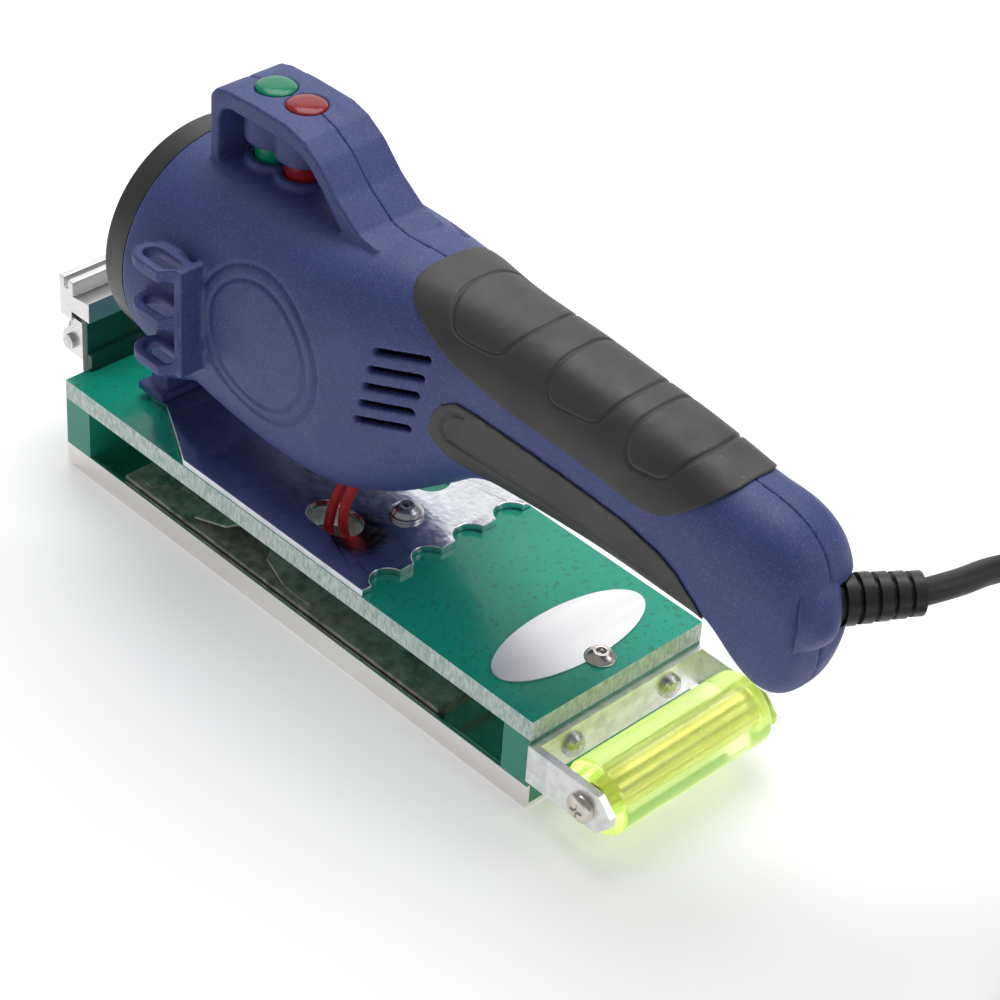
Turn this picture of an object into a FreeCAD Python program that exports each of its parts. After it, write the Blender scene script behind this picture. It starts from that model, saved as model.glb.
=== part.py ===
import math
import os

import FreeCAD
import Part
import Sketcher
from FreeCAD import Placement, Rotation, Vector

# Hand-held hot-melt edge bander: a heated steel sole in a glass-fibre frame, a split plastic
# housing clipped on top of it, a pressure roller behind and a tape guide in front.
# Frame: +X to the rear, +Y to the tool's right, +Z up, origin at the centre of the sole's underside.

os.makedirs("parts", exist_ok=True)
doc = FreeCAD.newDocument("edge_bander")

# ---------------------------------------------------------------- driving dimensions

DIMENSIONS = [
    ("base_length", 216.0, "sole and top plate, front to rear"),
    ("base_width", 70.0, "sole and top plate, across"),
    ("base_height", 33.0, "sole underside to top plate surface"),
    ("sheet_sole", 1.5, "stainless sheet of the sole"),
    ("lip_height", 8.5, "turned-up lips of the sole"),
    ("plate_thickness", 7.0, "glass-fibre top plate"),
    ("front_block_length", 12.0, "glass-fibre block at the front"),
    ("rear_block_length", 11.0, "glass-fibre block at the rear"),
    ("heater_front", -80.0, "front end of the heater stack"),
    ("heater_rear", 68.0, "rear end of the heater stack"),
    ("heater_half_width", "=base_width / 2 - 5", "half width of spreader and heater"),
    ("spreader_thickness", 4.5, "aluminium heat spreader"),
    ("heater_thickness", 2.5, "mica heater"),
    ("board_thickness", 1.5, "clamp board over the heater"),
    ("board_half_width", "=base_width / 2 - 2", "half width of the clamp board"),
    ("insulation_thickness", 0.8, "bent insulation sheet"),
    ("stand_thickness", 2.5, "zinc-plated stand plate"),
    ("stand_rear", 35.5, "scalloped rear edge of the stand plate"),
    ("stand_corner", -48.0, "front corner of the stand plate's full width"),
    ("stand_neck", -74.0, "front end of the stand plate's taper"),
    ("stand_neck_half_width", 21.0, "half width of the stand plate's neck"),
    ("scallop_radius", 5.6, "notches in the stand plate's rear edge"),
    ("scallop_pitch", 17.0, "distance between notches"),
    ("hole_x", 4.0, "oval holes of the stand plate, along the tool"),
    ("hole_y", 18.0, "oval holes of the stand plate, off centre"),
    ("hole_length", 20.0, "oval hole length"),
    ("hole_width", 12.5, "oval hole width"),
    ("tongue_half_width", 12.0, "tongue of the stand plate"),
    ("tongue_height", 15.0, "tongue above the stand plate"),
    ("tongue_x", -81.0, "middle of the tongue"),
    ("tongue_clearance", 0.15, "tongue to its socket"),
    ("screw_radius", 2.5, "M5 screws of the base"),
    ("screw_clearance", 0.1, "M5 screws in plain holes"),
    ("stand_screw_x", 16.4, "screw of the stand plate"),
    ("plate_screw_x", "=base_length / 2 - 7.7", "top plate screw into the rear block"),
    ("front_screw_x", "=6.5 - base_length / 2", "top plate screw into the front block"),
    ("plaque_x", "=base_length / 2 - 20.6", "centre of the oval plaque"),
    ("plaque_half_length", "=base_width / 2 - 5.5", "plaque across the tool"),
    ("plaque_half_width", 12.0, "plaque along the tool"),
    ("plaque_thickness", 0.6, "plaque sheet"),
    ("bracket_half_width", "=base_width / 2 + 1", "outer faces of the roller bracket"),
    ("bracket_sheet", 2.5, "roller bracket sheet"),
    ("bracket_bottom", 11.5, "underside of the bracket arms"),
    ("bracket_top", 25.0, "top of the bracket arms"),
    ("bracket_rear", "=base_length / 2 + 33", "rear end of the bracket arms"),
    ("roller_x", "=base_length / 2 + 22.4", "roller axis, along the tool"),
    ("roller_z", 17.6, "roller axis, above the table"),
    ("roller_radius", 12.0, "pressure roller"),
    ("roller_length", "=base_width - 9", "pressure roller"),
    ("sleeve_radius", 4.5, "brass sleeves in the roller"),
    ("axle_radius", 3.0, "roller axle"),
    ("axle_clearance", 0.05, "axle in the brass sleeves"),
    ("washer_thickness", 1.4, "side washers of the roller"),
    ("axle_screw_radius", 2.0, "screws into the axle's ends"),
    ("wall_thickness", 3.0, "front wall"),
    ("wall_half_width", "=base_width / 2 - 9", "front wall, rail and guide"),
    ("wall_top", 51.2, "top edge of the front wall"),
    ("wall_bottom", 12.0, "lower edge of the front wall"),
    ("cleat_height", 6.0, "cleat behind the front wall"),
    ("cleat_thickness", 2.0, "cleat behind the front wall"),
    ("rail_front", "=-base_length / 2 - 14.2", "front face of the aluminium rail"),
    ("rail_bottom", 47.9, "lower edge of the rail's front limb"),
    ("rail_top", 62.6, "top of the rail"),
    ("tab_thickness", 3.0, "guide tabs"),
    ("tab_inner", "=base_width / 2 - 13.5", "inner faces of the guide tabs, off centre"),
    ("tab_bottom", 33.0, "lower end of the guide tabs"),
    ("guide_x", "=-base_length / 2 - 10.6", "guide roller axis, along the tool"),
    ("guide_z", 38.2, "guide roller axis, above the table"),
    ("guide_radius", 6.6, "guide roller"),
    ("guide_pin_radius", 1.6, "guide roller pin"),
    ("guide_clearance", 0.05, "pin in the guide roller"),
    ("guide_end_gap", 0.4, "guide roller to each tab"),
    ("disc_front", -83.0, "front face of the round front disc"),
    ("disc_rear", -73.0, "rear face of the front disc"),
    ("disc_z", 92.0, "axis of the front disc"),
    ("disc_radius", 38.3, "front disc"),
    ("shell_wall", 3.2, "housing wall"),
    ("grip_rise", 0.8, "grip layer on the handle"),
    ("grip_bond", 0.02, "bond line between the handle and its grip layer"),
    ("bridge_half_width", 13.0, "bridge over the buttons"),
    ("bridge_top", 155.5, "top face of the bridge"),
    ("leg_half_width", 18.5, "leg under the head"),
    ("foot_half_width", 22.0, "foot flange of the leg"),
    ("foot_thickness", 3.0, "foot flange of the leg"),
    ("foot_overhang", 2.0, "foot flange past the leg, front and rear"),
    ("leg_thickness", 8.0, "leg under the head, front to rear"),
    ("button_front_x", -47.5, "axis of the front button"),
    ("button_pitch", 13.6, "front button to rear button"),
    ("button_radius", 6.2, "buttons"),
    ("button_clearance", 0.05, "buttons in their bores"),
    ("button_rise", 0.7, "crown of the buttons above the bridge"),
    ("button_shoulder", 128.0, "shoulder over the spring"),
    ("stem_radius", 2.5, "stem below the shoulder"),
    ("stem_bottom", 121.2, "lower end of the stem"),
    ("guide_boss_radius", 9.3, "guide boss below the bridge"),
    ("guide_boss_bottom", 138.5, "lower end of the guide boss"),
    ("collar_radius", 9.0, "collar on top of the head"),
    ("collar_top", 133.0, "collar on top of the head"),
    ("collar_bottom", 126.0, "collar on top of the head"),
    ("switch_top", 118.0, "top of the button switches"),
    ("switch_height", 8.0, "button switches"),
    ("switch_size", 12.4, "button switches, square"),
    ("carrier_thickness", 2.0, "carrier plate below the switches"),
    ("spring_radius", 4.3, "mean radius of the button springs"),
    ("spring_wire", 0.5, "button spring wire"),
    ("spring_coils", 5.0, "working turns of a button spring"),
    ("ring_x", -51.5, "key holder rings, along the tool"),
    ("ring_y", -39.7, "key holder rings, off centre"),
    ("ring_length", 21.0, "key holder ring, outside"),
    ("ring_width", 12.0, "key holder ring, outside"),
    ("ring_bar", 3.1, "key holder ring, bar width"),
    ("ring_height", 4.0, "key holder ring"),
    ("ring_pitch", 16.7, "key holder rings"),
    ("ring_bottom", 72.2, "lowest key holder ring"),
    ("vent_length", 19.0, "vent slot"),
    ("vent_width", 2.0, "vent slot"),
    ("vent_pitch", 6.3, "vent slots"),
    ("housing_screw_radius", 1.5, "screws that join the halves"),
    ("boss_radius", 4.2, "screw bosses"),
    ("cord_radius", 3.8, "power cord"),
    ("relief_root_radius", 7.8, "strain relief at the housing"),
    ("relief_tip_radius", 6.2, "strain relief at the cord"),
    ("coil_radius", 40.0, "middle of the coil's turns"),
    ("coil_turns", 6.0, "turns of the put-away cord, one on another"),
]

sheet = doc.addObject("Spreadsheet::Sheet", "dims")
for row, (alias, size, meaning) in enumerate(DIMENSIONS, start=1):
    sheet.set("A%d" % row, meaning)
    sheet.set("B%d" % row, str(size))
    sheet.setAlias("B%d" % row, alias)
doc.recompute()
size = {alias: float(sheet.get(alias)) for alias, _, _ in DIMENSIONS}

TURN_TO_AXIS = {
    "X": Rotation(Vector(0, 1, 0), 90),
    "Y": Rotation(Vector(1, 0, 0), -90),
    "Z": Rotation(),
}
parts = {}


# ---------------------------------------------------------------- building helpers

def bind(obj, expressions):
    """Bind properties of an object to expressions of the sheet's cells."""
    for target, expression in expressions.items():
        obj.setExpression(target, str(expression))
    return obj


def block(name, x0, x1, y0, y1, z0, z1):
    """A box between two corners, each coordinate an expression."""
    return bind(doc.addObject("Part::Box", name), {
        "Length": "(%s) - (%s)" % (x1, x0),
        "Width": "(%s) - (%s)" % (y1, y0),
        "Height": "(%s) - (%s)" % (z1, z0),
        "Placement.Base.x": x0,
        "Placement.Base.y": y0,
        "Placement.Base.z": z0,
    })


def rod(name, axis, radius, start, end, first, second):
    """A cylinder along an axis; first and second are the other two coordinates in XYZ order."""
    obj = doc.addObject("Part::Cylinder", name)
    obj.Placement = Placement(Vector(), TURN_TO_AXIS[axis])
    others = [letter for letter in "XYZ" if letter != axis]
    return bind(obj, {
        "Radius": radius,
        "Height": "(%s) - (%s)" % (end, start),
        "Placement.Base." + axis.lower(): start,
        "Placement.Base." + others[0].lower(): first,
        "Placement.Base." + others[1].lower(): second,
    })


def fuse(name, *shapes):
    obj = doc.addObject("Part::MultiFuse", name)
    obj.Shapes = list(shapes)
    obj.Refine = False
    return obj


def cut(name, base, *tools):
    """Base less every tool; the tools don't overlap each other."""
    obj = doc.addObject("Part::Cut", name)
    obj.Base = base
    obj.Refine = False
    if len(tools) == 1:
        obj.Tool = tools[0]
    else:
        obj.Tool = doc.addObject("Part::Compound", name + "_tools")
        obj.Tool.Links = list(tools)
    return obj


def common(name, base, tool):
    obj = doc.addObject("Part::Common", name)
    obj.Refine = False
    obj.Base = base
    obj.Tool = tool
    return obj


def slot(name, length, width, x, y, z0, z1):
    """An upright body with a stadium outline, long along X."""
    reach = "((%s) - (%s)) / 2" % (length, width)
    middle = block(name + "_middle", "(%s) - %s" % (x, reach), "(%s) + %s" % (x, reach),
                   "(%s) - (%s) / 2" % (y, width), "(%s) + (%s) / 2" % (y, width), z0, z1)
    ends = [rod(name + "_end%d" % (side > 0), "Z", "(%s) / 2" % width, z0, z1,
                "(%s) + (%d) * %s" % (x, side, reach), y) for side in (-1, 1)]
    return fuse(name, middle, *ends)


def outline_pad(name, corners, plane, start, end):
    """A pad of a closed outline whose corners are pairs of expressions.

    The outline lies in the XY or XZ plane and the pad runs from start to end along the third axis.
    """
    body = doc.addObject("PartDesign::Body", name)
    sketch = body.newObject("Sketcher::SketchObject", name + "_outline")
    origin_plane = [feature for feature in body.Origin.OriginFeatures if feature.Role == plane][0]
    sketch.AttachmentSupport = [(origin_plane, "")]
    sketch.MapMode = "FlatFace"
    count = len(corners)
    spread = [Vector(50 * math.cos(2 * math.pi * k / count), 50 * math.sin(2 * math.pi * k / count), 0)
              for k in range(count)]
    for k in range(count):
        sketch.addGeometry(Part.LineSegment(spread[k], spread[(k + 1) % count]))
    for k in range(count):
        sketch.addConstraint(Sketcher.Constraint("Coincident", k, 2, (k + 1) % count, 1))
    for k, (across, up) in enumerate(corners):
        for kind, spot, target in (("DistanceX", spread[k].x, across), ("DistanceY", spread[k].y, up)):
            index = sketch.addConstraint(Sketcher.Constraint(kind, -1, 1, k, 1, spot))
            sketch.setExpression("Constraints[%d]" % index, str(target))
    pad = body.newObject("PartDesign::Pad", name + "_pad")
    pad.Profile = sketch
    pad.Type = "Length"
    pad.setExpression("Length", "(%s) - (%s)" % (end, start))
    if plane == "XZ_Plane":
        # the XZ plane's normal points to -Y, so the body is moved to its far side
        body.setExpression("Placement.Base.y", end)
    else:
        body.setExpression("Placement.Base.z", start)
    return body


def part(label, obj):
    """Name an object as one of the tool's pieces."""
    obj.Label = label
    parts[label] = obj
    return obj


def own_shape(name, shape, base=(0, 0, 0)):
    """A feature whose shape is worked out here, placed at base."""
    obj = doc.addObject("Part::Feature", name)
    obj.Shape = shape
    obj.Placement = Placement(Vector(*base), Rotation())
    return obj


def turned(name, profile, axis, x, y, z):
    """A turned piece: profile is a list of (radius, distance along the axis)."""
    points = [Vector(radius, 0, along) for radius, along in profile]
    face = Part.Face(Part.makePolygon(points + [points[0]]))
    obj = own_shape(name, face.revolve(Vector(), Vector(0, 0, 1), 360))
    obj.Placement = Placement(Vector(), TURN_TO_AXIS[axis])
    return bind(obj, {"Placement.Base.x": x, "Placement.Base.y": y, "Placement.Base.z": z})


# ---------------------------------------------------------------- sole, frame and heater

HALF_LENGTH = "dims.base_length / 2"
HALF_WIDTH = "dims.base_width / 2"
PLATE_BOTTOM = "dims.base_height - dims.plate_thickness"
INNER_HALF = "dims.base_width / 2 - dims.sheet_sole"
SPREADER_TOP = "dims.sheet_sole + dims.spreader_thickness"
HEATER_TOP = SPREADER_TOP + " + dims.heater_thickness"
BOARD_TOP = HEATER_TOP + " + dims.board_thickness"
STAND_TOP = "dims.base_height + dims.stand_thickness"


def make_sole():
    channel = block("sole_sheet", "-" + HALF_LENGTH, HALF_LENGTH, "-" + HALF_WIDTH, HALF_WIDTH,
                    "0", "dims.lip_height")
    trough = block("sole_trough", "-%s - 1" % HALF_LENGTH, HALF_LENGTH + " + 1",
                   "-(%s)" % INNER_HALF, INNER_HALF, "dims.sheet_sole", "dims.lip_height + 1")
    part("sole_plate", cut("sole", channel, trough))


def make_end_block(label, x0, x1, screw_x):
    """A glass-fibre block that stands in the sole's channel and on its lips."""
    lower = block(label + "_lower", x0, x1, "-(%s)" % INNER_HALF, INNER_HALF,
                  "dims.sheet_sole", "dims.lip_height")
    upper = block(label + "_upper", x0, x1, "-" + HALF_WIDTH, HALF_WIDTH,
                  "dims.lip_height", PLATE_BOTTOM)
    hole = rod(label + "_hole", "Z", "dims.screw_radius", "dims.sheet_sole + 6", PLATE_BOTTOM + " + 1",
               screw_x, "0")
    part(label, cut(label + "_drilled", fuse(label + "_body", lower, upper), hole))


def make_heater():
    for label, half, bottom, top in (
            ("heat_spreader", "dims.heater_half_width", "dims.sheet_sole", SPREADER_TOP),
            ("mica_heater", "dims.heater_half_width", SPREADER_TOP, HEATER_TOP),
            ("heater_board", "dims.board_half_width", HEATER_TOP, BOARD_TOP)):
        part(label, block(label + "_slab", "dims.heater_front", "dims.heater_rear",
                          "-" + half, half, bottom, top))
    # a thin sheet folded into a low ridge, open at both sides where the leads come through
    low = "(%s)" % BOARD_TOP
    sheet_top = low + " + dims.insulation_thickness"
    ridge = 7.0
    corners = [(-72, low), (-50, low), (-30, "%s + %g" % (low, ridge)), (-14, "%s + %g" % (low, ridge)),
               (-4, low), (8, low), (8, sheet_top), (-4, sheet_top),
               (-14, "%s + %g" % (sheet_top, ridge)), (-30, "%s + %g" % (sheet_top, ridge)),
               (-50, sheet_top), (-72, sheet_top)]
    folded = outline_pad("insulation_folded", corners, "XZ_Plane", "-31", "31")
    bites = [rod("insulation_bite%d" % k, "Z", 11, "10", "24", x, y)
             for k, (x, y) in enumerate([(-58, -34), (-22, -36), (-40, 36), (-10, 35)])]
    part("insulation_sheet", cut("insulation", folded, *bites))
    can = turned("thermostat_can", [(0, 0), (11, 0), (11, 1.2), (8, 1.2), (8, 7), (5, 9.5), (0, 9.5)],
                 "Z", "30", "0", BOARD_TOP)
    tabs = [block("thermostat_tab%d" % k, "17", "24", "%g" % (y - 1.6), "%g" % (y + 1.6), "%s + 3" % BOARD_TOP,
                  "%s + 4" % BOARD_TOP) for k, y in enumerate((-5, 5))]
    part("thermostat", fuse("thermostat_body", can, *tabs))


def make_top_plate():
    plate = block("plate_slab", "-" + HALF_LENGTH, HALF_LENGTH, "-" + HALF_WIDTH, HALF_WIDTH,
                  PLATE_BOTTOM, "dims.base_height")
    lead_hole = slot("plate_lead_hole", "dims.hole_length", "dims.hole_width", "dims.hole_x",
                     "-dims.hole_y", PLATE_BOTTOM + " - 1", "dims.base_height + 1")
    holes = [rod("plate_hole%d" % k, "Z", "dims.screw_radius + dims.screw_clearance",
                 PLATE_BOTTOM + " - 1", "dims.base_height + 1", x, "0")
             for k, x in enumerate(("dims.stand_screw_x", "dims.plate_screw_x", "dims.front_screw_x"))]
    part("top_plate", cut("plate", plate, lead_hole, *holes))


def make_stand_plate():
    rear, corner, neck = "dims.stand_rear", "dims.stand_corner", "dims.stand_neck"
    front = "dims.tongue_x - dims.stand_thickness / 2"
    narrow = "dims.stand_neck_half_width"
    sheet_body = outline_pad("stand_sheet", [
        (rear, "-" + HALF_WIDTH), (rear, HALF_WIDTH), (corner, HALF_WIDTH), (neck, narrow),
        (front, narrow), (front, "-" + narrow), (neck, "-" + narrow), (corner, "-" + HALF_WIDTH),
    ], "XY_Plane", "dims.base_height", STAND_TOP)
    tongue = block("stand_tongue", front, front + " + dims.stand_thickness",
                   "-dims.tongue_half_width", "dims.tongue_half_width",
                   STAND_TOP, STAND_TOP + " + dims.tongue_height")
    below, above = "dims.base_height - 1", STAND_TOP + " + 1"
    notches = [rod("stand_notch%d" % k, "Z", "dims.scallop_radius", below, above,
                   rear + " + 1", "%g * dims.scallop_pitch" % (k - 1.5)) for k in range(4)]
    ovals = [slot("stand_oval%d" % k, "dims.hole_length", "dims.hole_width", "dims.hole_x",
                  "%d * dims.hole_y" % side, below, above) for k, side in enumerate((-1, 1))]
    screw_hole = rod("stand_screw_hole", "Z", "dims.screw_radius + dims.screw_clearance",
                     below, above, "dims.stand_screw_x", "0")
    part("stand_plate", cut("stand", fuse("stand_body", sheet_body, tongue),
                            screw_hole, *notches, *ovals))


def button_head_screw(name, head_radius, flange_radius, flange, head, length, x, z):
    """A socket button-head screw that points down, with its head's underside at z."""
    shank = size["screw_radius"]
    socket = 1.6
    profile = [(0, -length), (shank, -length), (shank, 0), (flange_radius, 0), (flange_radius, flange),
               (head_radius, flange), (head_radius * 0.86, flange + head * 0.55),
               (head_radius * 0.55, flange + head), (socket, flange + head),
               (socket, flange + head * 0.35), (0, flange + head * 0.2)]
    return turned(name, profile, "Z", x, "0", z)


def make_base_screws():
    part("stand_screw", button_head_screw("stand_screw_turned", 4.6, 5.4, 1.1, 2.6, 13.0,
                                          "dims.stand_screw_x", STAND_TOP))
    nut_top = PLATE_BOTTOM
    bore = size["screw_radius"]
    nut = turned("stand_nut_blank", [(bore, -4), (4.6, -4), (4.6, 0), (bore, 0)],
                 "Z", "dims.stand_screw_x", "0", nut_top)
    part("stand_nut", nut)
    screws = [button_head_screw("plate_screw%d" % k, 4.5, 4.6, 0.5, 2.4, 18.0, x, "dims.base_height")
              for k, x in enumerate(("dims.plate_screw_x", "dims.front_screw_x"))]
    part("plate_screws", fuse("plate_screws_pair", *screws))


def make_plaque():
    ellipse = doc.addObject("Part::Ellipse", "plaque_outline")
    ellipse.Placement = Placement(Vector(), Rotation(Vector(0, 0, 1), 90))
    bind(ellipse, {"MajorRadius": "dims.plaque_half_length", "MinorRadius": "dims.plaque_half_width",
                   "Placement.Base.x": "dims.plaque_x", "Placement.Base.z": "dims.base_height"})
    sheet_body = doc.addObject("Part::Extrusion", "plaque_sheet")
    sheet_body.Base = ellipse
    sheet_body.Dir = Vector(0, 0, 1)
    sheet_body.DirMode = "Custom"
    sheet_body.Solid = True
    sheet_body.setExpression("LengthFwd", "dims.plaque_thickness")
    room = rod("plaque_room", "Z", 5.0, "dims.base_height - 1", "dims.base_height + 2",
               "dims.plate_screw_x", "0")
    part("plaque", cut("plaque_cut", sheet_body, room))


# ---------------------------------------------------------------- pressure roller

def make_bracket():
    web_front = HALF_LENGTH
    inner = "dims.bracket_half_width - dims.bracket_sheet"
    web = block("bracket_web", web_front, web_front + " + dims.bracket_sheet",
                "-dims.bracket_half_width", "dims.bracket_half_width",
                "dims.bracket_bottom", "dims.bracket_top")
    nose = 5.0
    solids = [web]
    for k, (start, end) in enumerate((("-dims.bracket_half_width", "-(%s)" % inner),
                                      (inner, "dims.bracket_half_width"))):
        rear = "dims.bracket_rear"
        solids.append(outline_pad("bracket_arm%d" % k, [
            (web_front, "dims.bracket_bottom"), (rear + " - %g" % nose, "dims.bracket_bottom"),
            (rear, "dims.bracket_bottom + %g" % nose), (rear, "dims.bracket_top - %g" % nose),
            (rear + " - %g" % nose, "dims.bracket_top"), (web_front, "dims.bracket_top"),
        ], "XZ_Plane", start, end))
    axle_hole = rod("bracket_axle_hole", "Y", "dims.axle_screw_radius + 0.1",
                    "-dims.bracket_half_width - 1", "dims.bracket_half_width + 1",
                    "dims.roller_x", "dims.roller_z")
    web_holes = [rod("bracket_web_hole%d" % k, "X", "dims.axle_screw_radius + 0.1",
                     web_front + " - 1", web_front + " + dims.bracket_sheet + 1",
                     "%d" % y, "(dims.bracket_bottom + dims.bracket_top) / 2")
                 for k, y in enumerate((-20, 20))]
    part("roller_bracket", cut("bracket", fuse("bracket_body", *solids), axle_hole, *web_holes))
    screws = [turned("bracket_screw%d" % k,
                     [(0, 0), (2.0, 0), (2.0, 10), (3.9, 10), (3.9, 11.2), (2.8, 12.4), (0, 12.8)],
                     "X", "%s + dims.bracket_sheet - 10" % web_front, "%d" % y,
                     "(dims.bracket_bottom + dims.bracket_top) / 2") for k, y in enumerate((-20, 20))]
    part("bracket_screws", fuse("bracket_screw_pair", *screws))


def make_rear_block_holes(block_obj):
    """Blind holes in the rear block for the bracket's screws."""
    holes = [rod("rear_block_side_hole%d" % k, "X", "2.0", HALF_LENGTH + " - 8", HALF_LENGTH + " + 1",
                 "%d" % y, "(dims.bracket_bottom + dims.bracket_top) / 2") for k, y in enumerate((-20, 20))]
    return cut("rear_block_drilled_twice", block_obj, *holes)


def make_roller():
    half = "dims.roller_length / 2"
    place = ("dims.roller_x", "dims.roller_z")
    tyre = rod("roller_blank", "Y", "dims.roller_radius", "-" + half, half, *place)
    bore = rod("roller_bore", "Y", "dims.sleeve_radius", "-%s - 1" % half, half + " + 1", *place)
    part("roller", cut("roller_tube", tyre, bore))
    for label, start, end in (("roller_sleeve_left", "-" + half, "0"), ("roller_sleeve_right", "0", half)):
        sleeve = rod(label + "_blank", "Y", "dims.sleeve_radius", start, end, *place)
        hole = rod(label + "_bore", "Y", "dims.axle_radius + dims.axle_clearance",
                   start + " - 1", end + " + 1", *place)
        part(label, cut(label + "_tube", sleeve, hole))
    inner = "dims.bracket_half_width - dims.bracket_sheet"
    shaft = rod("axle_blank", "Y", "dims.axle_radius", "-(%s)" % inner, inner, *place)
    threads = [rod("axle_thread%d" % k, "Y", "dims.axle_screw_radius", start, end, *place)
               for k, (start, end) in enumerate((("-(%s) - 1" % inner, "-(%s) + 9" % inner),
                                                 ("%s - 9" % inner, "%s + 1" % inner)))]
    part("roller_axle", cut("axle", shaft, *threads))
    washers = []
    for k, side in enumerate((-1, 1)):
        edges = sorted(("%d * (%s)" % (side, inner), "%d * (%s - dims.washer_thickness)" % (side, inner)),
                       key=lambda edge: ("washer" in edge) == (side < 0))
        ring = rod("washer%d" % k, "Y", "6.0", edges[0], edges[1], *place)
        hole = rod("washer_hole%d" % k, "Y", "dims.axle_radius", edges[0] + " - 1", edges[1] + " + 1", *place)
        washers.append(cut("washer_ring%d" % k, ring, hole))
    part("roller_washers", fuse("washer_pair", *washers))
    screws = []
    for k, side in enumerate((-1, 1)):
        shank = size["axle_screw_radius"]
        profile = [(0, -9), (shank, -9), (shank, 0), (4.8, 0), (4.8, 1.4), (3.4, 2.7), (0, 3.0)]
        screw = turned("axle_screw%d" % k, [(radius, side * along) for radius, along in profile], "Y",
                       "dims.roller_x", "%d * dims.bracket_half_width" % side, "dims.roller_z")
        screws.append(screw)
    part("axle_screws", fuse("axle_screw_pair", *screws))


# ---------------------------------------------------------------- front tape guide

def make_front():
    wall_rear = "-" + HALF_LENGTH
    wall_front = "%s - dims.wall_thickness" % wall_rear
    half = "dims.wall_half_width"
    part("front_wall", block("front_wall_slab", wall_front, wall_rear, "-" + half, half,
                             "dims.wall_bottom", "dims.wall_top"))
    part("wall_cleat", block("wall_cleat_slab", wall_rear, wall_rear + " + dims.cleat_thickness",
                             "-" + half, half, "dims.base_height", "dims.base_height + dims.cleat_height"))
    # the rail hangs over the wall: a thick front limb, a step and a lower rear flange
    rail = outline_pad("rail_profile", [
        ("dims.rail_front", "dims.rail_bottom"), ("dims.rail_front + 6", "dims.rail_bottom"),
        ("dims.rail_front + 6", "dims.wall_top"), (wall_rear + " + 1", "dims.wall_top"),
        (wall_rear + " + 1", "dims.wall_top + 7.5"), ("dims.rail_front + 7", "dims.wall_top + 6.3"),
        ("dims.rail_front + 7", "dims.rail_top"), ("dims.rail_front", "dims.rail_top"),
    ], "XZ_Plane", "-" + half, half)
    groove = block("rail_groove", "dims.rail_front + 2.4", "dims.rail_front + 4.6", "-%s - 1" % half,
                   half + " + 1", "dims.rail_top - 3.5", "dims.rail_top + 1")
    part("guide_rail", cut("rail", rail, groove))
    tabs = []
    nose = "dims.guide_x"
    for k, side in enumerate((-1, 1)):
        near, far = "dims.tab_inner", "dims.tab_inner + dims.tab_thickness"
        start, end = (near, far) if side > 0 else ("-(%s)" % far, "-(%s)" % near)
        lug = block("tab_lug%d" % k, nose, wall_front, start, end, "dims.guide_z - 4.6", "dims.rail_bottom")
        eye = rod("tab_eye%d" % k, "Y", 4.6, start, end, nose, "dims.guide_z")
        hole = rod("tab_hole%d" % k, "Y", "dims.guide_pin_radius", start + " - 1", end + " + 1",
                   nose, "dims.guide_z")
        tabs.append(cut("tab%d" % k, fuse("tab_body%d" % k, lug, eye), hole))
    part("guide_tabs", fuse("tab_pair", *tabs))
    span = "dims.tab_inner - dims.guide_end_gap"
    blank = rod("guide_roller_blank", "Y", "dims.guide_radius", "-(%s)" % span, span, nose, "dims.guide_z")
    bore = rod("guide_roller_bore", "Y", "dims.guide_pin_radius + dims.guide_clearance",
               "-(%s) - 1" % span, span + " + 1", nose, "dims.guide_z")
    part("guide_roller", cut("guide_roller_tube", blank, bore))
    reach = size["tab_inner"] + size["tab_thickness"]
    pin = turned("guide_pin_turned", [
        (0, -reach - 2), (2.6, -reach - 1.6), (2.6, -reach), (size["guide_pin_radius"], -reach),
        (size["guide_pin_radius"], reach), (2.6, reach), (2.6, reach + 1.6), (0, reach + 2),
    ], "Y", nose, "0", "dims.guide_z")
    part("guide_pin", pin)


# ---------------------------------------------------------------- housing

# Stations of the housing along X: x, top, bottom, height of the widest line, half width, squareness.
STATIONS = [
    (-73, 130.5, 53.5, 92, 38.5, 2.0), (-67, 130.6, 52.4, 92, 38.2, 2.1),
    (-59, 130.8, 50.6, 92, 36.4, 2.3), (-48, 131.0, 48.3, 92, 33.8, 2.7),
    (-35, 131.0, 46.5, 92, 32.5, 3.0), (-18, 131.2, 45.0, 92, 32.0, 3.1),
    (-4, 131.8, 44.8, 92, 31.7, 3.0), (8, 132.8, 46.2, 93, 30.4, 2.9),
    (18, 133.5, 49.8, 95, 28.5, 2.8), (28, 134.0, 55.0, 98, 26.1, 2.7),
    (36, 133.9, 60.5, 101, 23.9, 2.6), (44, 133.5, 66.5, 103, 21.8, 2.6),
    (52, 133.2, 72.6, 104.5, 20.2, 2.6), (62, 132.9, 76.8, 105.3, 19.4, 2.6),
    (80, 132.2, 79.2, 106, 18.7, 2.6), (100, 130.7, 80.2, 105.7, 17.9, 2.6),
    (120, 129.1, 80.1, 104.9, 17.4, 2.6), (138, 126.6, 79.4, 103, 17.0, 2.6),
    (148, 125.0, 78.2, 101.5, 17.1, 2.6), (154, 124.5, 74.6, 100, 17.3, 2.7),
    (160, 123.6, 70.5, 98.5, 17.2, 2.8), (166, 121.5, 68.3, 97, 16.6, 2.8),
    (171, 118.0, 69.3, 96, 15.2, 2.7), (174.5, 113.5, 73.5, 95, 12.8, 2.5),
    (176.5, 108.5, 80.0, 95, 10.0, 2.3),
]
SECTION_POINTS = 16


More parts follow.
